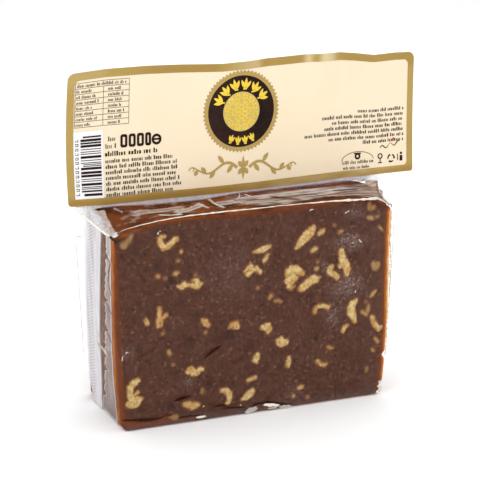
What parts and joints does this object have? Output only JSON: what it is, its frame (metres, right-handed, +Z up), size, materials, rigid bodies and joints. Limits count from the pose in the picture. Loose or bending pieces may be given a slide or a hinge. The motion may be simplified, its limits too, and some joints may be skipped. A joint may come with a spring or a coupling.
{
  "type": "cocoa walnut halva pack",
  "caption": "Upright block of cocoa halva with walnut pieces, shrunk tight in a clear bag whose flat top stands up as a cream and gold printed header.",
  "frame": {"origin": "centre of the flat foot of the block, on the surface that the pack stands on", "axes": "+Z up; +X along the block's length, to the right as the front is seen; the front face with the printed header faces -Y"},
  "size_m": [0.1503, 0.045, 0.137],
  "materials": {
    "halva": "dense cocoa-brown halva with a fine grain, satin under tight film",
    "walnut": "cut walnut kernel, cream inside with a thin tan skin",
    "clear_film": "thin clear glossy film with fine wrinkles",
    "header_print": "film printed cream with a gold border, soft gloss"
  },
  "bodies": {
    "root": {"halva_block": "halva", "bag_top": "clear_film", "header_panel": "header_print"}
  },
  "joints": []
}
